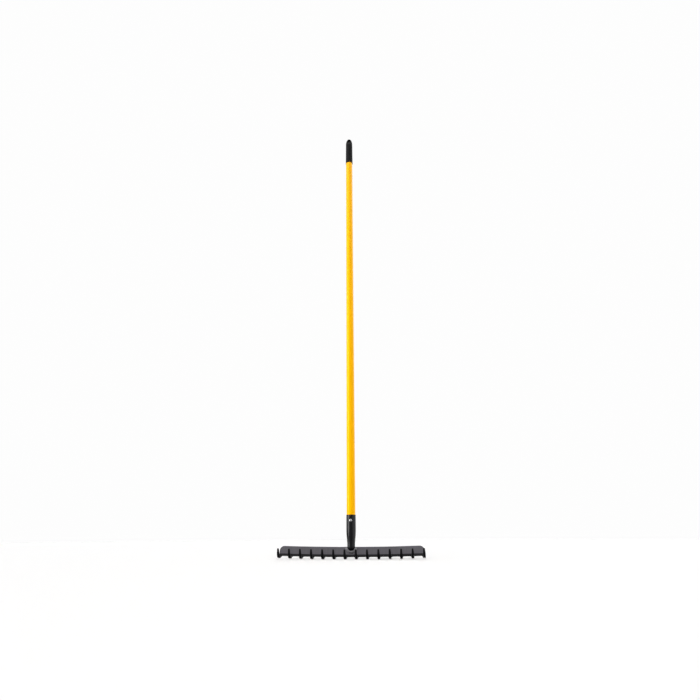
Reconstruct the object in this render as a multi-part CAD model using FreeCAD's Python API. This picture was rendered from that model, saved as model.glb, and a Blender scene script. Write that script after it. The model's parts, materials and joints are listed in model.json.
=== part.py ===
import FreeCAD, Part
import math
import os

# A level-head garden rake: a pressed-steel head with fourteen curved teeth, a swaged steel
# socket welded over the head, a coated steel tube riveted into the socket, and a moulded
# grip pushed onto the tube. Millimetres. The handle's axis is Z, the teeth point to -Y, and
# the origin is the centre of the hang hole in the grip, so the rake hangs below it.

Vector = FreeCAD.Vector

# Whole tool
OVERALL_LENGTH = 1568.0
HOLE_BELOW_TIP = 11.0
GRIP_TIP_Z = HOLE_BELOW_TIP
FOOT_Z = GRIP_TIP_Z - OVERALL_LENGTH

# Handle tube
TUBE_RADIUS = 12.5
TUBE_WALL = 1.2
TUBE_END_REDUCTION = 0.25
TUBE_IN_SOCKET = 36.0

# Hand grip
GRIP_LENGTH = 132.0
GRIP_RIM_RADIUS = 13.65
GRIP_RIM_CHAMFER = 0.9
GRIP_NECK_RADIUS = 12.95
GRIP_DOME_HEIGHT = 28.0
GRIP_BORE_CLEARANCE = 0.05
GRIP_BORE_BELOW_TIP = 42.0
GRIP_EYE_THICKNESS = 9.0
GRIP_SCALLOP_RADIUS = 40.0
HANG_HOLE_RADIUS = 4.0

# Pressed head; heights in it are measured from its lowest point
TOOTH_COUNT = 14
HEAD_LENGTH = 406.0
SHEET = 3.0
TOOTH_WIDTH = 6.8
TOOTH_PITCH = (HEAD_LENGTH - TOOTH_WIDTH) / (TOOTH_COUNT - 1)
HEAD_CAMBER = 3.3
PLATE_TOP = 30.6
PLATE_CORNER_RADIUS = 13.0

# Side section of the sheet: plate, bend, short level run, hook and straight tapered tip
BEND_RADIUS = 11.0
RUN_END = 15.0
HOOK_RADIUS = 17.0
HOOK_ANGLE = math.radians(65.0)
TIP_HEIGHT = 25.0
TIP_THICKNESS = 1.6
TIP_WIDTH = 3.4
TAPER_START = 30.0

# Gullets between the teeth, cut part of the way round the bend
GULLET_ANGLE = math.radians(34.0)
GULLET_CORNER_RADIUS = 5.0
TOOTH_ROOT = 6.3

# Socket; its mouth is at the top
SOCKET_MOUTH = 114.6
SOCKET_RADIUS = 13.5
SOCKET_WALL = 1.2
SOCKET_BARREL = 39.0
SOCKET_NECK_RADIUS = 10.8
SOCKET_TAPER = 44.0
SOCKET_NOSE_TOP = 30.6
SOCKET_NOSE_LENGTH = 10.6

# Weld mounds, between the socket's nose and both faces of the plate
WELD_RADIUS = 17.0
WELD_RISE = 8.0
WELD_CENTRE = 35.0
WELD_TOP = 31.0

# Blind rivet that holds the tube in the socket
RIVET_BELOW_MOUTH = 15.3
RIVET_HEAD_RADIUS = 4.0
RIVET_HEAD_HEIGHT = 1.4
RIVET_SHANK_RADIUS = 2.0
RIVET_BULB_RADIUS = 2.9
RIVET_BULB_LENGTH = 5.0
RIVET_HOLE_CLEARANCE = 0.05
MANDREL_RADIUS = 1.1
MANDREL_HEAD_RADIUS = 1.7
MANDREL_RECESS = 0.35

# Spare length that carries a cutting solid past the faces that it cuts
OVERSHOOT = 2.0

MOUTH_Z = FOOT_Z + SOCKET_MOUTH
RIVET_Z = MOUTH_Z - RIVET_BELOW_MOUTH
TUBE_BOTTOM_Z = MOUTH_Z - TUBE_IN_SOCKET
TUBE_TOP_Z = GRIP_TIP_Z - GRIP_BORE_BELOW_TIP
TUBE_END_RADIUS = TUBE_RADIUS - TUBE_END_REDUCTION
TUBE_END_BORE_RADIUS = TUBE_END_RADIUS - TUBE_WALL
CAMBER_RADIUS = HEAD_LENGTH ** 2 / (8 * HEAD_CAMBER)
CAMBER_CENTRE = Vector(0, 0, FOOT_Z + CAMBER_RADIUS)


def arc_about(centre, radius, start_angle, end_angle, place):
    """An arc in a plane, where place(u, v) turns plane coordinates into a point."""
    points = []
    for share in (0.0, 0.5, 1.0):
        angle = start_angle + share * (end_angle - start_angle)
        u = centre[0] + radius * math.cos(angle)
        v = centre[1] + radius * math.sin(angle)
        points.append(place(u, v))
    return Part.Arc(*points).toShape()


def quarter_ellipse(centre_z, radius, rise):
    """The outline of a dome, from its side to its tip on the Z axis; rise may be negative."""
    centre = Vector(0, 0, centre_z)
    side = Vector(radius, 0, centre_z)
    tip = Vector(0, 0, centre_z + rise)
    ends = (tip, side) if abs(rise) > radius else (side, tip)
    return Part.Ellipse(ends[0], ends[1], centre).toShape(0, math.pi / 2)


def face_of(edges):
    return Part.Face(Part.Wire(Part.__sortEdges__(edges)))


def turned(edges):
    """The solid of a closed outline in the XZ plane, turned about the Z axis."""
    return face_of(edges).revolve(Vector(0, 0, 0), Vector(0, 0, 1), 360)


def open_path(points):
    """Straight edges through (radius, z) points in the XZ plane."""
    corners = [Vector(radius, 0, z) for radius, z in points]
    return [Part.makeLine(a, b) for a, b in zip(corners, corners[1:])]


def polygon(points):
    return Part.Face(Part.makePolygon(points + points[:1]))


def rod_along_y(radius, start, end, z):
    return Part.makeCylinder(radius, end - start, Vector(0, start, z), Vector(0, 1, 0))


def single_solid(shape):
    """The one solid in a boolean's result, with its split faces merged."""
    return shape.removeSplitter().Solids[0]


def make_hand_grip():
    """A tapered sleeve with a domed end, pinched to a flat eye around the hang hole."""
    rim_z = GRIP_TIP_Z - GRIP_LENGTH
    dome_z = GRIP_TIP_Z - GRIP_DOME_HEIGHT
    outline = open_path([
        (0, GRIP_TIP_Z),
        (0, rim_z),
        (GRIP_RIM_RADIUS - GRIP_RIM_CHAMFER, rim_z),
        (GRIP_RIM_RADIUS, rim_z + GRIP_RIM_CHAMFER),
        (GRIP_NECK_RADIUS, dome_z),
    ])
    outline.append(quarter_ellipse(dome_z, GRIP_NECK_RADIUS, GRIP_DOME_HEIGHT))
    grip = turned(outline)
    bore_radius = TUBE_RADIUS + GRIP_BORE_CLEARANCE
    bore_length = TUBE_TOP_Z - rim_z + OVERSHOOT
    grip = grip.cut(Part.makeCylinder(bore_radius, bore_length, Vector(0, 0, rim_z - OVERSHOOT)))
    for side in (-1, 1):
        scallop_y = side * (GRIP_EYE_THICKNESS / 2 + GRIP_SCALLOP_RADIUS)
        start = Vector(-GRIP_RIM_RADIUS - OVERSHOOT, scallop_y, 0)
        width = 2 * (GRIP_RIM_RADIUS + OVERSHOOT)
        grip = grip.cut(Part.makeCylinder(GRIP_SCALLOP_RADIUS, width, start, Vector(1, 0, 0)))
    grip = grip.cut(rod_along_y(HANG_HOLE_RADIUS, -GRIP_RIM_RADIUS, GRIP_RIM_RADIUS, 0))
    return single_solid(grip)


def make_handle_tube():
    """A round tube whose lower end is drawn in a little to enter the socket."""
    tube = turned(open_path([
        (TUBE_END_BORE_RADIUS, TUBE_BOTTOM_Z),
        (TUBE_END_RADIUS, TUBE_BOTTOM_Z),
        (TUBE_END_RADIUS, MOUTH_Z),
        (TUBE_RADIUS, MOUTH_Z + TUBE_END_REDUCTION),
        (TUBE_RADIUS, TUBE_TOP_Z),
        (TUBE_RADIUS - TUBE_WALL, TUBE_TOP_Z),
        (TUBE_RADIUS - TUBE_WALL, MOUTH_Z + TUBE_END_REDUCTION),
        (TUBE_END_BORE_RADIUS, MOUTH_Z),
        (TUBE_END_BORE_RADIUS, TUBE_BOTTOM_Z),
    ]))
    return single_solid(tube.cut(make_rivet_hole()))


def make_rivet_hole():
    """The drilling through the front wall of the socket and of the tube in it."""
    radius = RIVET_SHANK_RADIUS + RIVET_HOLE_CLEARANCE
    return rod_along_y(radius, -SOCKET_RADIUS - OVERSHOOT, -TUBE_END_BORE_RADIUS / 2, RIVET_Z)


def make_socket_envelope(inset):
    """The socket's outside, or with an inset its inside: barrel, S-shaped taper and nose."""
    barrel = SOCKET_RADIUS - inset
    neck = SOCKET_NECK_RADIUS - inset
    taper_top_z = MOUTH_Z - SOCKET_BARREL
    taper_bottom_z = taper_top_z - SOCKET_TAPER
    nose_z = FOOT_Z + SOCKET_NOSE_TOP
    step = barrel - neck
    sweep = (SOCKET_TAPER ** 2 + step ** 2) / (4 * step)
    angle = math.asin(SOCKET_TAPER / 2 / sweep)

    def place(radius, z):
        return Vector(radius, 0, z)

    outline = open_path([(0, MOUTH_Z), (barrel, MOUTH_Z), (barrel, taper_top_z)])
    outline.append(arc_about((barrel - sweep, taper_top_z), sweep, 0, -angle, place))
    outline.append(arc_about((neck + sweep, taper_bottom_z), sweep, math.pi - angle, math.pi, place))
    outline += open_path([(neck, taper_bottom_z), (neck, nose_z)])
    outline.append(quarter_ellipse(nose_z, neck, inset - SOCKET_NOSE_LENGTH))
    outline += open_path([(0, nose_z + inset - SOCKET_NOSE_LENGTH), (0, MOUTH_Z)])
    return turned(outline)


def make_socket():
    """A closed-nosed ferrule, drilled for the rivet and slotted to straddle the plate."""
    socket = make_socket_envelope(0).cut(make_socket_envelope(SOCKET_WALL))
    slot_bottom_z = FOOT_Z + SOCKET_NOSE_TOP - SOCKET_NOSE_LENGTH - OVERSHOOT
    slot = Part.makeBox(
        2 * SOCKET_RADIUS,
        SHEET,
        SOCKET_NOSE_LENGTH + OVERSHOOT,
        Vector(-SOCKET_RADIUS, -SHEET / 2, slot_bottom_z),
    )
    return socket.cut(slot).cut(make_rivet_hole()).removeSplitter()


def turned_along_head(shape, distance):
    """A copy of a shape from the head's middle, moved along the head's camber."""
    copy = shape.copy()
    copy.rotate(CAMBER_CENTRE, Vector(0, 1, 0), -math.degrees(distance / CAMBER_RADIUS))
    return copy


def section_point(reach, height):
    """A point of the head's side section; reach is how far it stands in front of the plate."""
    return Vector(0, -reach, FOOT_Z + height)


def section_tip_reach():
    level_height = SHEET / 2
    hook_height = level_height + HOOK_RADIUS * (1 - math.cos(HOOK_ANGLE))
    straight_reach = (TIP_HEIGHT - hook_height) / math.tan(HOOK_ANGLE)
    return RUN_END + HOOK_RADIUS * math.sin(HOOK_ANGLE) + straight_reach


def section_side(offset):
    """One face of the sheet in section: its back and underside, or its front and upper side."""
    level_height = SHEET / 2
    bend_centre = (BEND_RADIUS, level_height + BEND_RADIUS)
    hook_centre = (RUN_END, level_height + HOOK_RADIUS)
    bend = BEND_RADIUS - offset
    hook = HOOK_RADIUS - offset
    tip_offset = math.copysign(TIP_THICKNESS / 2, offset)
    hook_end = section_point(
        hook_centre[0] + hook * math.sin(HOOK_ANGLE),
        hook_centre[1] - hook * math.cos(HOOK_ANGLE),
    )
    tip = section_point(
        section_tip_reach() - tip_offset * math.sin(HOOK_ANGLE),
        TIP_HEIGHT + tip_offset * math.cos(HOOK_ANGLE),
    )
    top = section_point(offset, PLATE_TOP)
    run_height = level_height + offset
    edges = [
        Part.makeLine(top, section_point(offset, bend_centre[1])),
        arc_about(bend_centre, bend, math.pi, 1.5 * math.pi, section_point),
        Part.makeLine(section_point(BEND_RADIUS, run_height), section_point(RUN_END, run_height)),
        arc_about(hook_centre, hook, -math.pi / 2, HOOK_ANGLE - math.pi / 2, section_point),
        Part.makeLine(hook_end, tip),
    ]
    return top, edges, tip


def make_pressed_strip():
    """The bent sheet at full length, before its teeth are separated."""
    back_top, back_edges, lower_tip = section_side(-SHEET / 2)
    front_top, front_edges, upper_tip = section_side(SHEET / 2)
    ends = [Part.makeLine(back_top, front_top), Part.makeLine(lower_tip, upper_tip)]
    section = face_of(back_edges + front_edges + ends)
    half_angle = math.degrees(math.asin(HEAD_LENGTH / 2 / CAMBER_RADIUS))
    section.rotate(CAMBER_CENTRE, Vector(0, 1, 0), half_angle)
    strip = section.revolve(CAMBER_CENTRE, Vector(0, 1, 0), -2 * half_angle)
    corners = []
    for edge in strip.Edges:
        first = edge.Vertexes[0]
        last = edge.Vertexes[-1]
        at_end = abs(first.X) > HEAD_LENGTH / 2 - SHEET
        across_sheet = abs(first.Y - last.Y) > SHEET / 2
        at_top = edge.BoundBox.ZMin > FOOT_Z + PLATE_TOP
        if at_end and across_sheet and at_top:
            corners.append(edge)
    return strip.makeFillet(PLATE_CORNER_RADIUS, corners)


def make_gullet():
    """The round-cornered cut between two teeth, square to the sheet where it is bent."""
    half_width = (TOOTH_PITCH - TOOTH_WIDTH) / 2
    depth = 2 * SHEET
    sine = math.sin(GULLET_ANGLE)
    cosine = math.cos(GULLET_ANGLE)
    bend_centre = section_point(BEND_RADIUS, SHEET / 2 + BEND_RADIUS)
    outward = Vector(0, cosine, -sine)
    along = Vector(0, -sine, -cosine)
    start = bend_centre + outward * (BEND_RADIUS - depth / 2)

    def place(x, down):
        return start + Vector(x, 0, 0) + along * down

    length = 2 * BEND_RADIUS
    corner = GULLET_CORNER_RADIUS
    inner = half_width - corner
    edges = [
        Part.makeLine(place(-inner, 0), place(inner, 0)),
        arc_about((inner, corner), corner, -math.pi / 2, 0, place),
        Part.makeLine(place(half_width, corner), place(half_width, length)),
        Part.makeLine(place(half_width, length), place(-half_width, length)),
        Part.makeLine(place(-half_width, length), place(-half_width, corner)),
        arc_about((-inner, corner), corner, math.pi, 1.5 * math.pi, place),
    ]
    return face_of(edges).extrude(outward * depth)


def make_tooth_gap():
    """The space between two teeth, which widens where they taper to their tips."""
    root = (TOOTH_PITCH - TOOTH_WIDTH) / 2
    tip = (TOOTH_PITCH - TIP_WIDTH) / 2
    tip_reach = section_tip_reach()
    side = [(root, TOOTH_ROOT), (root, TAPER_START), (tip, tip_reach), (tip, tip_reach + SHEET)]
    points = [(-x, reach) for x, reach in side] + side[::-1]
    bottom_z = FOOT_Z - OVERSHOOT
    outline = polygon([Vector(x, -reach, bottom_z) for x, reach in points])
    return outline.extrude(Vector(0, 0, TIP_HEIGHT + 2 * OVERSHOOT))


def make_rake_head():
    """The stamping: plate and teeth in one piece."""
    gullet = make_gullet()
    gap = make_tooth_gap()
    cuts = []
    for index in range(TOOTH_COUNT + 1):
        distance = (index - TOOTH_COUNT / 2) * TOOTH_PITCH
        cuts.append(turned_along_head(gap, distance))
        if 0 < index < TOOTH_COUNT:
            cuts.append(turned_along_head(gullet, distance))
    return single_solid(make_pressed_strip().cut(cuts))


def make_weld(side, head, envelope):
    """A mound of weld on the face that side points to, shaped by the socket's nose."""
    centre_z = FOOT_Z + WELD_CENTRE
    outline = Part.Ellipse(
        Vector(WELD_RADIUS, 0, centre_z),
        Vector(0, side * WELD_RISE, centre_z),
        Vector(0, 0, centre_z),
    )
    centre = Vector(0, 0, centre_z)
    edges = [
        outline.toShape(0, math.pi / 2),
        Part.makeLine(Vector(0, side * WELD_RISE, centre_z), centre),
        Part.makeLine(centre, Vector(WELD_RADIUS, 0, centre_z)),
    ]
    mound = face_of(edges).revolve(centre, Vector(0, 1, 0), 360)
    kept = Part.makeBox(
        2 * WELD_RADIUS,
        2 * WELD_RADIUS,
        WELD_RADIUS,
        Vector(-WELD_RADIUS, -WELD_RADIUS, FOOT_Z + WELD_TOP - WELD_RADIUS),
    )
    return mound.common(kept).cut(envelope).cut(head).Solids[0]


def make_rivet_body():
    """The rivet's domed head, its shank through both walls, and its set bulb inside."""
    seat_y = -math.sqrt(SOCKET_RADIUS ** 2 - RIVET_HEAD_RADIUS ** 2)
    crown_y = -SOCKET_RADIUS - RIVET_HEAD_HEIGHT
    rise = seat_y - crown_y
    sphere_radius = (RIVET_HEAD_RADIUS ** 2 + rise ** 2) / (2 * rise)
    sphere = Part.makeSphere(sphere_radius, Vector(0, crown_y + sphere_radius, RIVET_Z))
    head = sphere.common(rod_along_y(RIVET_HEAD_RADIUS, crown_y - OVERSHOOT, seat_y, RIVET_Z))
    barrel_z = RIVET_Z - 2 * RIVET_HEAD_RADIUS
    head = head.cut(Part.makeCylinder(SOCKET_RADIUS, 4 * RIVET_HEAD_RADIUS, Vector(0, 0, barrel_z)))
    bulb_y = -math.sqrt(TUBE_END_BORE_RADIUS ** 2 - RIVET_BULB_RADIUS ** 2)
    bulb = rod_along_y(RIVET_BULB_RADIUS, bulb_y, bulb_y + RIVET_BULB_LENGTH, RIVET_Z)
    bulb = bulb.makeFillet(RIVET_BULB_RADIUS / 2, bulb.Edges[:1] + bulb.Edges[2:])
    shank_start = -SOCKET_RADIUS - RIVET_HEAD_HEIGHT / 2
    shank = rod_along_y(RIVET_SHANK_RADIUS, shank_start, bulb_y + RIVET_SHANK_RADIUS, RIVET_Z)
    bore = rod_along_y(MANDREL_RADIUS, crown_y - OVERSHOOT, bulb_y + 2 * RIVET_BULB_LENGTH, RIVET_Z)
    return single_solid(head.fuse([shank, bulb]).cut(bore))


def make_rivet_mandrel():
    """The pin left in the rivet: a stub broken off in the head, and its ball inside."""
    start_y = -SOCKET_RADIUS - RIVET_HEAD_HEIGHT + MANDREL_RECESS
    bulb_y = -math.sqrt(TUBE_END_BORE_RADIUS ** 2 - RIVET_BULB_RADIUS ** 2)
    ball_y = bulb_y + RIVET_BULB_LENGTH + MANDREL_HEAD_RADIUS
    pin = rod_along_y(MANDREL_RADIUS, start_y, ball_y, RIVET_Z)
    ball = Part.makeSphere(MANDREL_HEAD_RADIUS, Vector(0, ball_y, RIVET_Z))
    behind = rod_along_y(2 * MANDREL_HEAD_RADIUS, bulb_y + RIVET_BULB_LENGTH, 0, RIVET_Z)
    return single_solid(pin.fuse(ball.common(behind)))


def main():
    head = make_rake_head()
    envelope = make_socket_envelope(0)
    nodes = {
        "hand_grip": make_hand_grip(),
        "handle_tube": make_handle_tube(),
        "socket": make_socket(),
        "rake_head": head,
        "front_weld": make_weld(-1, head, envelope),
        "rear_weld": make_weld(1, head, envelope),
        "rivet_body": make_rivet_body(),
        "rivet_mandrel": make_rivet_mandrel(),
    }
    os.makedirs("parts", exist_ok=True)
    for name, shape in nodes.items():
        box = shape.BoundBox
        print(name, shape.isValid(), len(shape.Solids), round(shape.Volume), box)
        shape.exportStep("parts/" + name + ".step")


main()
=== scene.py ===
import json
import math

import bpy
from mathutils import Matrix, Vector, noise
from mathutils.geometry import delaunay_2d_cdt


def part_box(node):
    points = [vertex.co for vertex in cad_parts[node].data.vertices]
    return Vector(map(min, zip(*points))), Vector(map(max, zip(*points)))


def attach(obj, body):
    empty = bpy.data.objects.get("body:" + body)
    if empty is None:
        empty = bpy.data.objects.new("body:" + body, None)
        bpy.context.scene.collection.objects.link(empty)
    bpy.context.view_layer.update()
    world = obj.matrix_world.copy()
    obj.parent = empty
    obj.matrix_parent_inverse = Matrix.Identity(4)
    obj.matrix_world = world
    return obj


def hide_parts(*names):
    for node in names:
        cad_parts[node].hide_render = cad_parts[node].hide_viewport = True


# The looks of a level-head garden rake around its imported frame. Metres; lengths that are
# easier to read in millimetres are multiplied by MM. The handle stands along Z, the teeth
# point to -Y, and the origin is the hang hole's centre.

MM = 0.001
TAU = 2 * math.pi

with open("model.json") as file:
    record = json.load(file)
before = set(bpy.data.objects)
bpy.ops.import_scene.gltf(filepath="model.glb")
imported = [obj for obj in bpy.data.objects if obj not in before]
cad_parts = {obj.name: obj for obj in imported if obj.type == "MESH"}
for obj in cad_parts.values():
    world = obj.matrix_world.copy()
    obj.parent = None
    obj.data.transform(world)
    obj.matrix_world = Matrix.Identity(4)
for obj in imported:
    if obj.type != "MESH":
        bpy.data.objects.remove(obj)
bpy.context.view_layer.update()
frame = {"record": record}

grip_low, grip_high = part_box("hand_grip")
tube_low, tube_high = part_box("handle_tube")
socket_low, socket_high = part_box("socket")
head_low, head_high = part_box("rake_head")
rivet_low, rivet_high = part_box("rivet_body")
mandrel_low, mandrel_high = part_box("rivet_mandrel")
hang_hole = next(m for m in frame["record"]["mounts"] if m["name"] == "hang_hole")

FOOT_Z = head_low.z
MOUTH_Z = socket_high.z
RIM_Z = grip_low.z
TIP_Z = grip_high.z
TUBE_RADIUS = tube_high.x
SOCKET_RADIUS = socket_high.x
RIVET_Z = (rivet_low.z + rivet_high.z) / 2

# Head: side section of the sheet, teeth and gullets
HEAD_LENGTH = 2 * head_high.x
SHEET = 2 * head_high.y
TOOTH_COUNT = 14
TOOTH_WIDTH = 6.8 * MM
TOOTH_PITCH = (HEAD_LENGTH - TOOTH_WIDTH) / (TOOTH_COUNT - 1)
HEAD_CAMBER = 3.3 * MM
CAMBER_RADIUS = HEAD_LENGTH ** 2 / (8 * HEAD_CAMBER)
PLATE_TOP = 30.6 * MM
PLATE_CORNER = 13 * MM
BEND_RADIUS = 11 * MM
RUN_END = 15 * MM
HOOK_RADIUS = 17 * MM
HOOK_ANGLE = math.radians(65)
TIP_HEIGHT = 25 * MM
TIP_THICKNESS = 1.6 * MM
TIP_WIDTH = 4.2 * MM
TAPER_START = 31 * MM
GULLET_ANGLE = math.radians(40)
GULLET_CORNER = 4 * MM
HEAD_EDGE = 0.55 * MM

# Painted shadow on the plate's front, just below the weld
WELD_SHADOW_HALF_WIDTH = 7.6 * MM
WELD_SHADOW_SIDE_FADE = 1.4 * MM
WELD_SHADOW_LOW = 14.2 * MM
WELD_SHADOW_LOW_FADE = 1.0 * MM
WELD_SHADOW_HIGH = 19.6 * MM
WELD_SHADOW_HIGH_FADE = 0.8 * MM
WELD_SHADOW_WANDER = 1.6 * MM

# Socket's lower end
NECK_RADIUS = 10.8 * MM
NOSE_LENGTH = 10.6 * MM
BARREL_LENGTH = 39 * MM
TAPER_LENGTH = 44 * MM
SOCKET_WALL = 1.2 * MM

# Tube and rivet
TUBE_WALL = 1.2 * MM
RIVET_HEAD_RADIUS = 4 * MM
RIVET_BORE_RADIUS = 1.1 * MM

# Grip
GRIP_NECK_RADIUS = 12.95 * MM
GRIP_RIM_RADIUS = min(grip_high.x, grip_high.y, -grip_low.x, -grip_low.y) - 0.02 * MM
GRIP_DOME = 28 * MM
EYE_THICKNESS = hang_hole["dims"]["length_mm"] * MM
SCALLOP_RADIUS = 40 * MM
HANG_HOLE_RADIUS = hang_hole["dims"]["r_mm"] * MM
GRIP_BORE_DEPTH = 42 * MM

# Camera: where it stands, how it is turned, and how wide it sees
CAMERA_PLACE = (0.1256, -1.33938, FOOT_Z + 0.06252)
CAMERA_AZIMUTH = math.radians(5.383)
CAMERA_ELEVATION = math.radians(22.727)
CAMERA_ROLL = math.radians(-0.292)
CAMERA_SENSOR_MM = 36
CAMERA_FOCAL_SHARE = 440.43 / 700


# ---------------------------------------------------------------- meshes


def finished(name, vertices, faces, material, node, bevel=0.0):
    """An object from a mesh, smooth shaded, riding on the frame in place of its CAD node."""
    mesh = bpy.data.meshes.new(name)
    mesh.from_pydata(vertices, [], faces)
    mesh.validate()
    mesh.polygons.foreach_set("use_smooth", [True] * len(mesh.polygons))
    piece = bpy.data.objects.new(name, mesh)
    bpy.context.scene.collection.objects.link(piece)
    mesh.materials.append(material)
    if bevel:
        rounding = piece.modifiers.new("rounded_edges", "BEVEL")
        rounding.width = bevel
        rounding.segments = 3
        rounding.limit_method = "ANGLE"
        rounding.angle_limit = math.radians(40)
    normals = piece.modifiers.new("even_shading", "WEIGHTED_NORMAL")
    normals.keep_sharp = True
    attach(piece, "root")
    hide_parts(node)
    return piece


def rounded_outline(corners, steps=5):
    """The points of an outline through (u, v, radius) corners, each rounded by that radius."""
    points = []
    count = len(corners)
    for index, (u, v, radius) in enumerate(corners):
        here = Vector((u, v))
        before = Vector(corners[index - 1][:2]) - here
        after = Vector(corners[(index + 1) % count][:2]) - here
        if not radius or before.length < 1e-9 or after.length < 1e-9:
            points.append(here)
            continue
        turn = before.angle(after)
        setback = radius / math.tan(turn / 2)
        inward = (before.normalized() + after.normalized()).normalized()
        centre = here + inward * radius / math.sin(turn / 2)
        start = here + before.normalized() * setback - centre
        end = here + after.normalized() * setback - centre
        sweep = start.angle_signed(end)
        for step in range(steps + 1):
            points.append(centre + Matrix.Rotation(-sweep * step / steps, 2) @ start)
    return points


def lathe(profile, segments, place):
    """Rings of a profile of (radius, height) points; place(radius, angle, height) gives each point."""
    vertices = []
    rings = []
    for radius, height in profile:
        if radius < 1e-7:
            rings.append([len(vertices)] * segments)
            vertices.append(place(0.0, 0.0, height))
            continue
        rings.append([len(vertices) + i for i in range(segments)])
        vertices += [place(radius, TAU * i / segments, height) for i in range(segments)]
    faces = []
    for lower, upper in zip(rings, rings[1:]):
        for i in range(segments):
            j = (i + 1) % segments
            corners = [lower[i], lower[j], upper[j], upper[i]]
            face = [v for k, v in enumerate(corners) if v != corners[k - 1]]
            if len(face) > 2:
                faces.append(face)
    return vertices, faces


def about_z(radius, angle, height):
    return Vector((radius * math.cos(angle), radius * math.sin(angle), height))


def about_rivet(radius, angle, depth):
    """A point about the rivet's axis, where depth runs along +Y."""
    return Vector((radius * math.cos(angle), depth, RIVET_Z + radius * math.sin(angle)))


def arc_points(centre, radii, start, end, steps):
    points = []
    for step in range(steps + 1):
        angle = start + (end - start) * step / steps
        points.append((centre[0] + radii[0] * math.cos(angle), centre[1] + radii[1] * math.sin(angle)))
    return points


# ---------------------------------------------------------------- materials


def new_material(name):
    material = bpy.data.materials.new(name)
    material.use_nodes = True
    nodes = material.node_tree.nodes
    return material, nodes, material.node_tree.links, nodes["Principled BSDF"]


def noise_texture(nodes, links, scale, detail, stretch=(1, 1, 1)):
    """Noise over the object's own coordinates, in features of about 1/scale metres."""
    coordinates = nodes.new("ShaderNodeTexCoord")
    mapping = nodes.new("ShaderNodeMapping")
    mapping.inputs["Scale"].default_value = stretch
    texture = nodes.new("ShaderNodeTexNoise")
    texture.inputs["Scale"].default_value = scale
    texture.inputs["Detail"].default_value = detail
    links.new(coordinates.outputs["Object"], mapping.inputs["Vector"])
    links.new(mapping.outputs["Vector"], texture.inputs["Vector"])
    return texture.outputs["Fac"]


def ramp(nodes, links, source, stops):
    """A colour ramp over a texture; stops are (position, colour) or (position, value) pairs."""
    mixer = nodes.new("ShaderNodeValToRGB")
    while len(mixer.color_ramp.elements) < len(stops):
        mixer.color_ramp.elements.new(0.5)
    for element, (position, value) in zip(mixer.color_ramp.elements, stops):
        element.position = position
        element.color = (*value, 1) if isinstance(value, tuple) else (value, value, value, 1)
    links.new(source, mixer.inputs["Fac"])
    return mixer.outputs["Color"]


def mixed(nodes, links, share, first, second):
    """first where share is 0, second where it is 1; each is a socket or a colour."""
    mixer = nodes.new("ShaderNodeMix")
    mixer.data_type = "RGBA"
    for index, value in ((6, first), (7, second)):
        if isinstance(value, tuple):
            mixer.inputs[index].default_value = (*value, 1)
        else:
            links.new(value, mixer.inputs[index])
    links.new(share, mixer.inputs[0])
    return mixer.outputs[2]


def bumped(nodes, links, shader, layers):
    """Stacks bumps on a shader; layers are (texture socket, depth in metres, strength)."""
    previous = None
    for source, depth, strength in layers:
        bump = nodes.new("ShaderNodeBump")
        bump.inputs["Distance"].default_value = depth
        bump.inputs["Strength"].default_value = strength
        links.new(source, bump.inputs["Height"])
        if previous:
            links.new(previous, bump.inputs["Normal"])
        previous = bump.outputs["Normal"]
    links.new(previous, shader.inputs["Normal"])


def shade(colour, factor):
    return tuple(min(1.0, channel * factor) for channel in colour)


def faded(nodes, links, source, start, end):
    """0 where the source is at start, 1 where it is at end, and held beyond both."""
    fade = nodes.new("ShaderNodeMapRange")
    fade.inputs["From Min"].default_value = start
    fade.inputs["From Max"].default_value = end
    links.new(source, fade.inputs["Value"])
    return fade.outputs["Result"]


def computed(nodes, links, operation, first, second):
    """A maths node over two sockets, or over a socket and a number."""
    node = nodes.new("ShaderNodeMath")
    node.operation = operation
    links.new(first, node.inputs[0])
    if isinstance(second, float):
        node.inputs[1].default_value = second
    else:
        links.new(second, node.inputs[1])
    return node.outputs[0]


def with_painted_shade(nodes, links, body, painted_shade_colour):
    """Painted shade: the coat is darkened over the bend and the teeth, and a painted shadow is laid on
    the plate's front below the weld.
    """
    coordinates = nodes.new("ShaderNodeTexCoord")
    split = nodes.new("ShaderNodeSeparateXYZ")
    links.new(coordinates.outputs["Object"], split.inputs[0])
    ragged = noise_texture(nodes, links, 340, 3)
    wander = computed(nodes, links, "MULTIPLY", ragged, WELD_SHADOW_WANDER)
    front = -SHEET / 2
    # Painted shade: the bend and the teeth, forward of the plate's front face, take the darker colour.
    bend = faded(nodes, links, split.outputs["Y"], front - 0.05 * MM, front - 0.15 * MM)
    body = mixed(nodes, links, bend, body, painted_shade_colour)
    aside = computed(nodes, links, "ABSOLUTE", split.outputs["X"], 0.0)
    across = computed(nodes, links, "ADD", aside, wander)
    height = computed(nodes, links, "ADD", split.outputs["Z"], wander)
    low = FOOT_Z + WELD_SHADOW_LOW
    high = FOOT_Z + WELD_SHADOW_HIGH
    near = faded(nodes, links, across, WELD_SHADOW_HALF_WIDTH, WELD_SHADOW_HALF_WIDTH - WELD_SHADOW_SIDE_FADE)
    above = faded(nodes, links, height, low, low + WELD_SHADOW_LOW_FADE)
    below = faded(nodes, links, height, high, high - WELD_SHADOW_HIGH_FADE)
    facing = faded(nodes, links, split.outputs["Y"], 0.0, front)
    # Painted shadow: a ragged dark patch on the plate's front just under the weld bead.
    weld_shadow = computed(nodes, links, "MULTIPLY", near, computed(nodes, links, "MULTIPLY", above, below))
    weld_shadow = computed(nodes, links, "MULTIPLY", weld_shadow, facing)
    return mixed(nodes, links, weld_shadow, body, painted_shade_colour)


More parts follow.
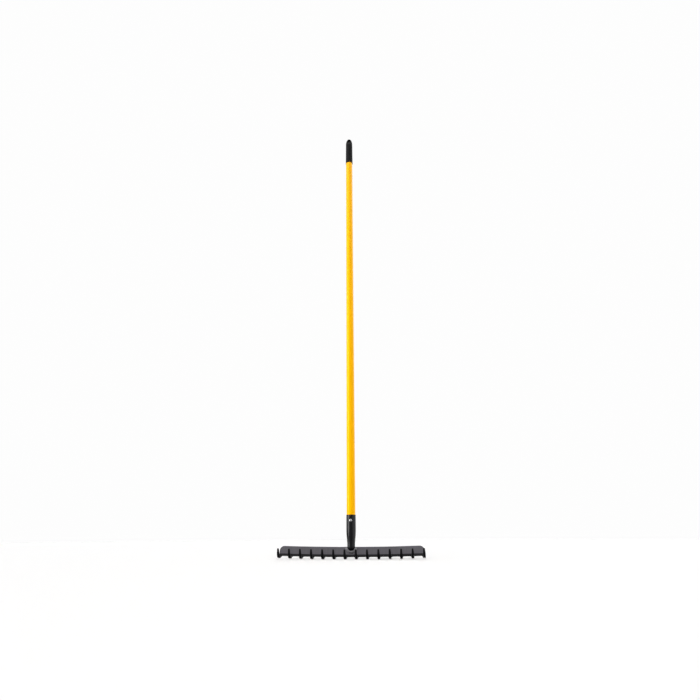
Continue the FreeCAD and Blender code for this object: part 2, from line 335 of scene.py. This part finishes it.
def coating(name, colour, roughness, peel, contrast, level=0.5, metal_wear=0.0, painted_shade_colour=None):
    """A sprayed and baked coat: cloudy tone, orange peel, fine dust nibs, uneven gloss, worn edges."""
    material, nodes, links, shader = new_material(name)
    clouds = noise_texture(nodes, links, 22, 4)
    streaks = noise_texture(nodes, links, 260, 3, (1, 1, 0.12))
    skin = noise_texture(nodes, links, 620, 2)
    nibs = noise_texture(nodes, links, 2600, 1)
    darker = shade(colour, 1 - contrast)
    lighter = shade(colour, 1 + contrast)
    tone = ramp(nodes, links, clouds, [(0.3, darker), (0.7, lighter)])
    fine = ramp(nodes, links, streaks, [(0.35, darker), (0.65, lighter)])
    half = ramp(nodes, links, nibs, [(0.2, 0.3), (0.8, 0.7)])
    body = mixed(nodes, links, half, tone, fine)
    # Painted shade and shadow: given a shade colour, the bend, the teeth and a patch under the weld are
    # darkened.
    if painted_shade_colour:
        body = with_painted_shade(nodes, links, body, painted_shade_colour)
    if metal_wear:
        geometry = nodes.new("ShaderNodeNewGeometry")
        edges = ramp(nodes, links, geometry.outputs["Pointiness"], [(0.53, 0.0), (0.62, metal_wear)])
        patches = ramp(nodes, links, noise_texture(nodes, links, 190, 5), [(0.5, 0.0), (0.62, 1.0)])
        worn = computed(nodes, links, "MULTIPLY", edges, patches)
        body = mixed(nodes, links, worn, body, (0.30, 0.29, 0.28))
    links.new(body, shader.inputs["Base Color"])
    gloss = ramp(nodes, links, clouds, [(0.3, roughness * 0.85), (0.7, roughness * 1.15)])
    links.new(gloss, shader.inputs["Roughness"])
    shader.inputs["Specular IOR Level"].default_value = level
    bumped(nodes, links, shader, [(skin, 0.05 * MM, peel), (nibs, 0.02 * MM, peel * 0.6)])
    return material


def moulded_plastic():
    """Black moulded plastic: spark-eroded grain, faint flow marks, and rub marks that shine."""
    material, nodes, links, shader = new_material("moulded_grip_black")
    grain = noise_texture(nodes, links, 1700, 2)
    flow = noise_texture(nodes, links, 60, 3, (1, 1, 0.25))
    rubs = noise_texture(nodes, links, 420, 5, (1, 1, 0.3))
    base = ramp(nodes, links, flow, [(0.3, (0.003, 0.003, 0.0035)), (0.7, (0.006, 0.0058, 0.0058))])
    shader.inputs["Specular IOR Level"].default_value = 0.06
    marks = ramp(nodes, links, rubs, [(0.55, 0.0), (0.75, 0.25)])
    links.new(mixed(nodes, links, marks, base, (0.022, 0.021, 0.020)), shader.inputs["Base Color"])
    links.new(ramp(nodes, links, rubs, [(0.35, 0.48), (0.7, 0.62)]), shader.inputs["Roughness"])
    bumped(nodes, links, shader, [(grain, 0.04 * MM, 0.45), (flow, 0.2 * MM, 0.12)])
    return material


def bare_metal(name, colour, roughness, tarnish):
    """Bare metal with turned rings of brushing and a dull film in patches."""
    material, nodes, links, shader = new_material(name)
    film = noise_texture(nodes, links, 900, 4)
    brushing = noise_texture(nodes, links, 5200, 2, (1, 0.1, 1))
    links.new(
        ramp(nodes, links, film, [(0.35, colour), (0.75, shade(colour, 1 - tarnish))]),
        shader.inputs["Base Color"],
    )
    links.new(
        ramp(nodes, links, film, [(0.3, roughness), (0.75, roughness + tarnish * 0.5)]),
        shader.inputs["Roughness"],
    )
    shader.inputs["Metallic"].default_value = 1.0
    bumped(nodes, links, shader, [(brushing, 0.03 * MM, 0.3)])
    return material


# ---------------------------------------------------------------- hand grip


def grip_radius(z):
    """The grip's outside at a height: gently flared barrel below an elliptical dome."""
    dome_z = TIP_Z - GRIP_DOME
    if z > dome_z:
        return GRIP_NECK_RADIUS * math.sqrt(max(0.0, 1 - ((z - dome_z) / GRIP_DOME) ** 2))
    share = (dome_z - z) / (dome_z - RIM_Z)
    return GRIP_NECK_RADIUS + (GRIP_RIM_RADIUS - GRIP_NECK_RADIUS) * share


def soft_minimum(a, b, blend):
    share = max(0.0, blend - abs(a - b)) / blend
    return min(a, b) - share * share * blend / 4


def eye_depth(x, z):
    """Half the grip's thickness near its end, where both sides are scooped to a flat eye."""
    across = grip_radius(z)
    round_depth = math.sqrt(max(0.0, across * across - x * x))
    reach = min(abs(z), SCALLOP_RADIUS * 0.999)
    scoop = EYE_THICKNESS / 2 + SCALLOP_RADIUS - math.sqrt(SCALLOP_RADIUS ** 2 - reach ** 2)
    return max(0.0, soft_minimum(round_depth, scoop, 1.2 * MM))


def make_grip():
    """The moulded grip: a polar grid round the hole for the eye, then rings down to the rim."""
    seam_z = -31 * MM
    rays = 112
    rows = 20
    lip = 1.1 * MM
    vertices = []
    faces = []
    index = {}

    def vertex(key, point):
        if key not in index:
            index[key] = len(vertices)
            vertices.append(point)
        return index[key]

    dome_z = TIP_Z - GRIP_DOME
    border = []
    seam_count = rays // 2
    for step in range(seam_count):
        angle = math.pi * step / seam_count
        border.append(("seam", -grip_radius(seam_z) * math.cos(angle), seam_z))
    side_count = 6
    for step in range(side_count):
        z = seam_z + (dome_z - seam_z) * step / side_count
        border.append(("side", grip_radius(z), z))
    arc_count = rays - seam_count - 2 * side_count
    for step in range(arc_count):
        angle = math.pi * step / arc_count
        border.append(("side", GRIP_NECK_RADIUS * math.cos(angle), dome_z + GRIP_DOME * math.sin(angle)))
    for step in range(side_count):
        z = dome_z + (seam_z - dome_z) * step / side_count
        border.append(("side", -grip_radius(z), z))
    count = len(border)
    for ray, (kind, bx, bz) in enumerate(border):
        aim = math.atan2(bz, bx)
        hole_x = HANG_HOLE_RADIUS * math.cos(aim)
        hole_z = HANG_HOLE_RADIUS * math.sin(aim)
        for row in range(rows + 1):
            share = row / rows
            share = 0.35 * share + 0.65 * math.sin(share * math.pi / 2)
            if kind == "seam":
                share = row / rows
            x = hole_x + (bx - hole_x) * share
            z = hole_z + (bz - hole_z) * share
            gap = math.hypot(x, z) - HANG_HOLE_RADIUS
            drop = lip - math.sqrt(max(0.0, lip * lip - (lip - gap) ** 2)) if gap < lip else 0.0
            depth = eye_depth(x, z) - drop
            if row == rows:
                if kind == "seam":
                    depth = math.sqrt(max(0.0, grip_radius(seam_z) ** 2 - bx * bx))
                else:
                    depth = 0.0
            for side in (-1, 1):
                key = (ray, row, 0 if depth == 0.0 else side)
                vertex(key, Vector((x, side * depth, z)))
    for ray in range(count):
        after = (ray + 1) % count
        for row in range(rows):
            for side in (-1, 1):
                ids = []
                for r, w in ((ray, row), (after, row), (after, row + 1), (ray, row + 1)):
                    ids.append(index.get((r, w, side), index.get((r, w, 0))))
                ids = [v for k, v in enumerate(ids) if v != ids[k - 1]]
                if side > 0:
                    ids.reverse()
                if len(ids) > 2:
                    faces.append(ids)
        wall = ((ray, -1), (ray, 1), (after, 1), (after, -1))
        faces.append([index[(r, 0, side)] for r, side in wall])
    front = [index.get((r, rows, -1), index.get((r, rows, 0))) for r in range(seam_count + 1)]
    back = [index.get((r, rows, 1), index.get((r, rows, 0))) for r in range(seam_count + 1)]
    ring = front + back[-2:0:-1]
    angles = [math.atan2(vertices[v].y, vertices[v].x) for v in ring]
    inner = TUBE_RADIUS + 0.05 * MM
    bore_top = TIP_Z - GRIP_BORE_DEPTH
    barrel = [seam_z + (RIM_Z - seam_z) * k / 14 for k in range(1, 13)]
    profile = [(grip_radius(z), z) for z in barrel]
    profile += [
        (GRIP_RIM_RADIUS - 0.35 * MM, RIM_Z + 9.2 * MM),
        (GRIP_RIM_RADIUS - 0.30 * MM, RIM_Z + 8.0 * MM),
        (GRIP_RIM_RADIUS, RIM_Z + 7.4 * MM),
        (GRIP_RIM_RADIUS, RIM_Z + 1.2 * MM),
        (GRIP_RIM_RADIUS - 0.15 * MM, RIM_Z + 0.5 * MM),
        (GRIP_RIM_RADIUS - 0.5 * MM, RIM_Z + 0.12 * MM),
        (GRIP_RIM_RADIUS - 0.9 * MM, RIM_Z),
        (inner + 0.1 * MM, RIM_Z),
        (inner, RIM_Z + 0.3 * MM),
        (inner, bore_top),
    ]
    for radius, z in profile:
        below = []
        for angle in angles:
            below.append(len(vertices))
            seam_line = 0.0
            if radius > inner + MM:
                seam_line = max(0.0, 1 - abs(math.sin(angle)) / 0.03) * 0.12 * MM
            reach = min(radius + seam_line, GRIP_RIM_RADIUS)
            vertices.append(about_z(reach, angle, z))
        size = len(ring)
        for k in range(size):
            faces.append([ring[k], below[k], below[(k + 1) % size], ring[(k + 1) % size]])
        ring = below
    faces.append(ring)
    return finished("moulded_grip", vertices, faces, moulded_plastic(), "hand_grip")


# ---------------------------------------------------------------- tube and socket


def make_tube():
    """The coated tube, with its drawn-in lower end and its open ends."""
    end_radius = TUBE_RADIUS - 0.25 * MM
    corners = [
        (end_radius - TUBE_WALL, tube_low.z, 0.2 * MM),
        (end_radius, tube_low.z, 0.3 * MM),
        (end_radius, MOUTH_Z - 1.5 * MM, 2 * MM),
        (TUBE_RADIUS, MOUTH_Z + 1.0 * MM, 2 * MM),
        (TUBE_RADIUS, tube_high.z, 0.3 * MM),
        (TUBE_RADIUS - TUBE_WALL, tube_high.z, 0.2 * MM),
        (TUBE_RADIUS - TUBE_WALL, MOUTH_Z + 2.0 * MM, 0),
        (end_radius - TUBE_WALL, MOUTH_Z - 2.0 * MM, 0),
    ]
    profile = [tuple(p) for p in rounded_outline(corners, 4)]
    profile.append(profile[0])
    vertices, faces = lathe(profile, 96, about_z)
    material = coating("gloss_yellow_powder_coat", (0.95, 0.45, 0.002), 0.25, 0.10, 0.035, 0.3)
    shader = material.node_tree.nodes["Principled BSDF"]
    shader.inputs["Specular Tint"].default_value = (1, 0.85, 0.02, 1)
    return finished("coated_tube", vertices, faces, material, "handle_tube")


def socket_outline(inset):
    """The socket's side from its mouth to the end of its nose, moved in by inset."""
    barrel = SOCKET_RADIUS - inset
    neck = NECK_RADIUS - inset
    top = MOUTH_Z - BARREL_LENGTH
    bottom = top - TAPER_LENGTH
    step = barrel - neck
    sweep = (TAPER_LENGTH ** 2 + step ** 2) / (4 * step)
    angle = math.asin(TAPER_LENGTH / 2 / sweep)
    nose_z = FOOT_Z + PLATE_TOP
    points = arc_points((barrel - sweep, top), (sweep, sweep), 0, -angle, 8)
    points += arc_points((neck + sweep, bottom), (sweep, sweep), math.pi - angle, math.pi, 8)[1:]
    points += arc_points((0, nose_z), (neck, NOSE_LENGTH - inset), 0, -math.pi / 2, 10)
    points[-1] = (0.0, points[-1][1])
    return points


def make_socket():
    """The swaged ferrule: rolled mouth, straight barrel, long taper and closed nose."""
    lip = [
        (SOCKET_RADIUS - SOCKET_WALL, MOUTH_Z - 1.2 * MM),
        (SOCKET_RADIUS - SOCKET_WALL + 0.15 * MM, MOUTH_Z - 0.4 * MM),
        (SOCKET_RADIUS - 0.8 * MM, MOUTH_Z - 0.08 * MM),
        (SOCKET_RADIUS - 0.55 * MM, MOUTH_Z),
        (SOCKET_RADIUS - 0.28 * MM, MOUTH_Z - 0.12 * MM),
        (SOCKET_RADIUS - 0.08 * MM, MOUTH_Z - 0.4 * MM),
        (SOCKET_RADIUS, MOUTH_Z - 0.9 * MM),
        (SOCKET_RADIUS, MOUTH_Z - 2.2 * MM),
        (SOCKET_RADIUS - 0.12 * MM, MOUTH_Z - 3.2 * MM),
        (SOCKET_RADIUS - 0.12 * MM, MOUTH_Z - 5.0 * MM),
        (SOCKET_RADIUS, MOUTH_Z - 9.0 * MM),
    ]
    inside = list(reversed(socket_outline(SOCKET_WALL)))
    outside = socket_outline(0.0)
    vertices, faces = lathe(inside + lip + outside, 96, about_z)
    material = coating("gloss_black_enamel", (0.004, 0.004, 0.005), 0.22, 0.16, 0.12, 0.21)
    return finished("swaged_socket", vertices, faces, material, "socket")


# ---------------------------------------------------------------- pressed head


def along_section(s):
    """The sheet's middle line at distance s from the plate's top: reach, height, and its direction."""
    level = SHEET / 2
    straight = PLATE_TOP - level - BEND_RADIUS
    bend = BEND_RADIUS * math.pi / 2
    run = RUN_END - BEND_RADIUS
    hook = HOOK_RADIUS * HOOK_ANGLE
    if s < straight:
        return 0.0, PLATE_TOP - s, -math.pi / 2
    s -= straight
    if s < bend:
        turn = s / BEND_RADIUS
        reach = BEND_RADIUS * (1 - math.cos(turn))
        return reach, level + BEND_RADIUS * (1 - math.sin(turn)), turn - math.pi / 2
    s -= bend
    if s < run:
        return BEND_RADIUS + s, level, 0.0
    s -= run
    if s < hook:
        turn = s / HOOK_RADIUS
        return RUN_END + HOOK_RADIUS * math.sin(turn), level + HOOK_RADIUS * (1 - math.cos(turn)), turn
    s -= hook
    reach = RUN_END + HOOK_RADIUS * math.sin(HOOK_ANGLE) + s * math.cos(HOOK_ANGLE)
    height = level + HOOK_RADIUS * (1 - math.cos(HOOK_ANGLE)) + s * math.sin(HOOK_ANGLE)
    return reach, height, HOOK_ANGLE


# Distances along the sheet's middle line, from the plate's top
BEND_START_S = PLATE_TOP - SHEET / 2 - BEND_RADIUS
HOOK_START_S = BEND_START_S + BEND_RADIUS * math.pi / 2 + RUN_END - BEND_RADIUS
HOOK_END_S = HOOK_START_S + HOOK_RADIUS * HOOK_ANGLE
HOOK_END_HEIGHT = SHEET / 2 + HOOK_RADIUS * (1 - math.cos(HOOK_ANGLE))
TIP_S = HOOK_END_S + (TIP_HEIGHT - HOOK_END_HEIGHT) / math.sin(HOOK_ANGLE)
TAPER_S = HOOK_START_S + HOOK_RADIUS * math.asin((TAPER_START - RUN_END) / HOOK_RADIUS)
GULLET_S = BEND_START_S + BEND_RADIUS * GULLET_ANGLE


def half_thickness(s):
    """Half the sheet's thickness, which thins only along the straight tip of a tooth."""
    share = max(0.0, (s - HOOK_END_S) / (TIP_S - HOOK_END_S))
    return SHEET / 2 + (TIP_THICKNESS - SHEET) / 2 * share


def pressed(x, s, offset):
    """A flat-pattern point of the sheet, folded along the section and cambered along the head."""
    reach, height, direction = along_section(s)
    reach -= offset * math.sin(direction)
    height += offset * math.cos(direction)
    angle = x / CAMBER_RADIUS
    radius = CAMBER_RADIUS - height
    return Vector((radius * math.sin(angle), -reach, FOOT_Z + CAMBER_RADIUS - radius * math.cos(angle)))


def flat_pattern():
    """The stamping's outline before it is bent, as (x, s) points: plate, teeth and gullets."""
    half = HEAD_LENGTH / 2 + 0.1 * MM
    corners = [(-half, 0, PLATE_CORNER), (half, 0, PLATE_CORNER)]
    for tooth in reversed(range(TOOTH_COUNT)):
        centre = (tooth - (TOOTH_COUNT - 1) / 2) * TOOTH_PITCH
        for side in (1, -1):
            edge = centre + side * TOOTH_WIDTH / 2
            outer = tooth == (TOOTH_COUNT - 1 if side > 0 else 0)
            taper = [(edge, TAPER_S, 12 * MM), (centre + side * TIP_WIDTH / 2, TIP_S, 1.0 * MM)]
            root = [] if outer else [(edge, GULLET_S, GULLET_CORNER)]
            corners += root + taper if side > 0 else taper[::-1] + root
    return rounded_outline(corners, 7)


def divided(points, longest):
    """A closed outline with its long edges divided."""
    made = []
    for a, b in zip(points, points[1:] + points[:1]):
        count = max(1, math.ceil((b - a).length / longest))
        made += [a.lerp(b, k / count) for k in range(count)]
    return made


def inset_outline(points, distance):
    """A closed outline moved inwards; the outline runs so that its inside is on its left."""
    moved = []
    for index, here in enumerate(points):
        before = (here - points[index - 1]).normalized()
        after = (points[(index + 1) % len(points)] - here).normalized()
        inward = Vector((-before.y - after.y, before.x + after.x)).normalized()
        lean = max(0.5, inward.dot(Vector((-after.y, after.x))))
        moved.append(here + inward * distance / lean)
    return moved


def sheet_filling(border):
    """Inner points and triangles of the flat pattern, on rows close enough for its bends."""
    room = 1.0 * MM
    points = list(border)
    kept_out = inset_outline(border, room)
    column_step = TOOTH_PITCH / 10
    row_step = 1.7 * MM
    columns = int(HEAD_LENGTH / column_step) + 2
    rows = int(TIP_S / row_step) + 1
    for row in range(1, rows):
        s = row * row_step
        crossings = []
        for a, b in zip(kept_out, kept_out[1:] + kept_out[:1]):
            if (a.y > s) != (b.y > s):
                crossings.append(a.x + (s - a.y) * (b.x - a.x) / (b.y - a.y))
        crossings.sort()
        for start, end in zip(crossings[::2], crossings[1::2]):
            if end - start < 0.3 * MM:
                continue
            count = max(1, round((end - start) / column_step))
            points += [Vector((start + (end - start) * k / count, s)) for k in range(count + 1)]
    face = list(range(len(border)))
    filled = delaunay_2d_cdt(points, [], [face], 1, 1e-7)
    return filled[0], filled[2], filled[3]


def make_head():
    """The stamping as one rounded sheet: rings round its edge, and both faces filled."""
    border = divided([Vector(p) for p in flat_pattern()], 1.9 * MM)
    area = sum(a.x * b.y - b.x * a.y for a, b in zip(border, border[1:] + border[:1]))
    if area < 0:
        border.reverse()
    face_border = inset_outline(border, HEAD_EDGE)
    filled, triangles, sources = sheet_filling(face_border)
    count = len(border)
    vertices = []
    faces = []
    sides = {}
    for side in (1, -1):
        start = len(vertices)
        vertices += [pressed(p.x, p.y, side * half_thickness(p.y)) for p in filled]
        faces += [[start + v for v in (t if side > 0 else reversed(t))] for t in triangles]
        where = {source: start + made for made, found in enumerate(sources) for source in found}
        sides[side] = [where[k] for k in range(count)]
    ring = sides[1]
    steps = 3
    turns = [(1, step) for step in range(1, steps + 1)]
    turns += [(-1, step) for step in range(steps, 0, -1)]
    for side, step in turns:
        angle = math.pi / 2 * step / steps
        outline = inset_outline(border, HEAD_EDGE * (1 - math.sin(angle)))
        drop = HEAD_EDGE * (1 - math.cos(angle))
        following = []
        for p in outline:
            following.append(len(vertices))
            vertices.append(pressed(p.x, p.y, side * (half_thickness(p.y) - drop)))
        for k in range(count):
            after = (k + 1) % count
            faces.append([ring[after], ring[k], following[k], following[after]])
        ring = following
    for k in range(count):
        after = (k + 1) % count
        faces.append([ring[after], ring[k], sides[-1][k], sides[-1][after]])
    # The last colour paints shade over the bend and the teeth, and a shadow under the weld.
    material = coating(
        "charcoal_powder_coat", (0.100, 0.095, 0.106), 0.52, 0.30, 0.10, 0.12, 0.3, (0.006, 0.006, 0.007)
    )
    return finished("pressed_head", vertices, faces, material, "rake_head")


# ---------------------------------------------------------------- welds and rivet


def make_weld(name, side, node, material):
    """A laid bead round the nose, with ripples along it and a heavier end at each shoulder."""
    steps = 88
    around = 14
    plate_face = side * SHEET / 2
    vertices = []
    faces = []
    rings = []
    for step in range(steps + 1):
        share = step / steps
        angle = math.pi * share
        shoulder = abs(math.cos(angle)) ** 3
        ripple = 1 + 0.07 * math.sin(TAU * 15 * share) + 0.05 * noise.noise(Vector((share * 23, side, 0)))
        size = (2.4 + 1.4 * shoulder) * MM * ripple
        tail = math.sin(min(1.0, min(share, 1 - share) * 9) * math.pi / 2)
        size *= max(0.35, tail)
        centre = Vector((
            -(NECK_RADIUS + (0.9 + 1.5 * shoulder) * MM) * math.cos(angle),
            plate_face + side * 0.3 * MM,
            FOOT_Z + PLATE_TOP - 1.2 * MM - (NOSE_LENGTH + 0.2 * MM) * math.sin(angle),
        ))
        outward = Vector((-math.cos(angle), 0, -math.sin(angle)))
        lift = Vector((0, side, 0))
        ring = []
        for k in range(around):
            turn = TAU * k / around
            reach = size * (1.15 * math.cos(turn))
            height = size * (0.95 * math.sin(turn))
            ring.append(len(vertices))
            vertices.append(centre + outward * reach + lift * height)
        rings.append(ring)
    for a, b in zip(rings, rings[1:]):
        for k in range(around):
            faces.append([a[k], b[k], b[(k + 1) % around], a[(k + 1) % around]])
    faces += [rings[0], rings[-1][::-1]]
    return finished(name, vertices, faces, material, node)


def make_rivet():
    """A set blind rivet: domed head with a rolled edge and bored middle, shank and bulb."""
    head = RIVET_HEAD_RADIUS
    bore = RIVET_BORE_RADIUS
    lip = bore + 0.5 * MM
    rise = 1.45 * MM
    crown = rivet_low.y
    seat = crown + 1.9 * MM
    ball = rivet_high.y
    profile = [
        (bore, ball - 0.3 * MM),
        (bore, crown + 0.5 * MM),
        (bore + 0.25 * MM, crown + 0.08 * MM),
        (lip, crown),
    ]
    profile += arc_points((lip, crown + rise), (head - lip, rise), -math.pi / 2, 0, 9)[1:]
    profile += [
        (head - 0.05 * MM, seat - 0.15 * MM),
        (head - 0.4 * MM, seat),
        (2 * MM, seat),
        (2 * MM, ball - 5 * MM),
        (2.7 * MM, ball - 4.4 * MM),
        (2.9 * MM, ball - 3 * MM),
        (2.6 * MM, ball - 1 * MM),
        (2.0 * MM, ball - 0.2 * MM),
        (bore + 0.2 * MM, ball),
        (bore, ball - 0.3 * MM),
    ]
    vertices, faces = lathe(profile, 48, about_rivet)
    material = bare_metal("bright_aluminium", (0.44, 0.44, 0.445), 0.20, 0.14)
    return finished("blind_rivet", vertices, faces, material, "rivet_body")


def make_mandrel():
    """The rivet's pin: a torn stub in the head and the ball that set the bulb."""
    pin = 1.05 * MM
    ball = 1.7 * MM
    end = mandrel_high.y
    start = mandrel_low.y
    profile = [
        (0.0, start + 0.1 * MM),
        (0.35 * MM, start),
        (0.7 * MM, start + 0.16 * MM),
        (pin, start + 0.3 * MM),
        (pin, end - 2.4 * MM),
        (ball * 0.9, end - 2.1 * MM),
    ]
    profile += arc_points((0.0, end - ball), (ball, ball), 0, math.pi / 2, 6)
    profile[-1] = (0.0, profile[-1][1])
    vertices, faces = lathe(profile, 32, about_rivet)
    material = bare_metal("torn_steel", (0.45, 0.44, 0.43), 0.42, 0.3)
    return finished("rivet_pin", vertices, faces, material, "rivet_mandrel")


# ---------------------------------------------------------------- stage


def stage_piece(name, vertices, faces, material):
    """A piece of the studio: the camera sees it, and it sends no light back onto the rake."""
    mesh = bpy.data.meshes.new(name)
    mesh.from_pydata(vertices, [], faces)
    mesh.materials.append(material)
    piece = bpy.data.objects.new(name, mesh)
    bpy.context.scene.collection.objects.link(piece)
    piece.visible_diffuse = False
    piece.visible_glossy = False
    return piece


def make_floor():
    """A pale round floor under the teeth."""
    inner = 1.2
    edge = 5.0
    vertices, faces = lathe([(0.0, FOOT_Z), (inner, FOOT_Z), (edge, FOOT_Z)], 96, about_z)
    material, _, _, shader = new_material("studio_floor")
    shader.inputs["Base Color"].default_value = (0.72, 0.719, 0.718, 1)
    shader.inputs["Roughness"].default_value = 0.9
    shader.inputs["Specular IOR Level"].default_value = 0.1
    stage_piece("floor", vertices, faces, material)


def make_backdrop():
    """A white ball round the whole stage."""
    radius = 30.0
    profile = arc_points((0.0, FOOT_Z), (radius, radius), -math.pi / 2, math.pi / 2, 24)
    profile[0] = (0.0, profile[0][1])
    profile[-1] = (0.0, profile[-1][1])
    vertices, faces = lathe(profile, 48, about_z)
    material, nodes, links, _ = new_material("studio_white")
    glow = nodes.new("ShaderNodeEmission")
    glow.inputs["Color"].default_value = (0.985, 0.985, 0.985, 1)
    links.new(glow.outputs[0], nodes["Material Output"].inputs["Surface"])
    backdrop = stage_piece("backdrop", vertices, faces, material)
    backdrop.visible_shadow = False
    backdrop.visible_transmission = False


def sun(name, azimuth, elevation, strength, spread):
    """A soft light from a direction: azimuth 0 is the teeth's side, negative to the left."""
    lamp = bpy.data.lights.new(name, "SUN")
    lamp.energy = strength * math.pi
    lamp.angle = math.radians(spread)
    light = bpy.data.objects.new(name, lamp)
    bpy.context.scene.collection.objects.link(light)
    a = math.radians(azimuth)
    e = math.radians(elevation)
    source = Vector((math.sin(a) * math.cos(e), -math.cos(a) * math.cos(e), math.sin(e)))
    light.rotation_mode = "QUATERNION"
    light.rotation_quaternion = source.to_track_quat("Z", "Y")


def make_world():
    """A dim even fill, darker from below."""
    world = bpy.data.worlds.new("studio")
    bpy.context.scene.world = world
    world.use_nodes = True
    nodes = world.node_tree.nodes
    links = world.node_tree.links
    direction = nodes.new("ShaderNodeTexCoord")
    split = nodes.new("ShaderNodeSeparateXYZ")
    links.new(direction.outputs["Generated"], split.inputs[0])
    links.new(
        ramp(nodes, links, split.outputs["Z"], [(0.0, 0.03), (0.35, 0.12)]),
        nodes["Background"].inputs["Color"],
    )


def make_camera():
    """A wide lens low in front of the head, looking up the handle."""
    lens = bpy.data.cameras.new("camera")
    lens.sensor_width = CAMERA_SENSOR_MM
    lens.lens = CAMERA_SENSOR_MM * CAMERA_FOCAL_SHARE
    lens.clip_start = 0.01
    lens.clip_end = 100
    camera = bpy.data.objects.new("camera", lens)
    bpy.context.scene.collection.objects.link(camera)
    level = math.cos(CAMERA_ELEVATION)
    forward = Vector((
        -math.sin(CAMERA_AZIMUTH) * level,
        math.cos(CAMERA_AZIMUTH) * level,
        math.sin(CAMERA_ELEVATION),
    ))
    right = Vector((math.cos(CAMERA_AZIMUTH), math.sin(CAMERA_AZIMUTH), 0))
    up = right.cross(forward)
    turned_right = right * math.cos(CAMERA_ROLL) + up * math.sin(CAMERA_ROLL)
    turned_up = up * math.cos(CAMERA_ROLL) - right * math.sin(CAMERA_ROLL)
    rows = zip(turned_right, turned_up, -forward, CAMERA_PLACE)
    camera.matrix_world = Matrix([*rows, (0, 0, 0, 1)])
    bpy.context.scene.camera = camera


bpy.context.scene.view_settings.view_transform = "Standard"
make_grip()
make_tube()
make_socket()
make_head()
# Painted highlight: the weld's coat is the head's charcoal made lighter, standing in for light on the
# bead's top.
lightened_weld_coat = coating("coated_weld", (0.165, 0.160, 0.170), 0.30, 0.4, 0.12, 0.6, 0.2)
make_weld("front_bead", -1, "front_weld", lightened_weld_coat)
make_weld("rear_bead", 1, "rear_weld", lightened_weld_coat)
make_rivet()
make_mandrel()
make_floor()
make_backdrop()
make_world()
sun("key", -66, 12, 1.20, 44)
sun("top_left", -40, 64, 0.42, 60)
sun("front_fill", -20, 16, 0.30, 110)
sun("right_wall", 84, 18, 0.95, 100)
sun("back_fill", 168, 14, 0.50, 90)
make_camera()
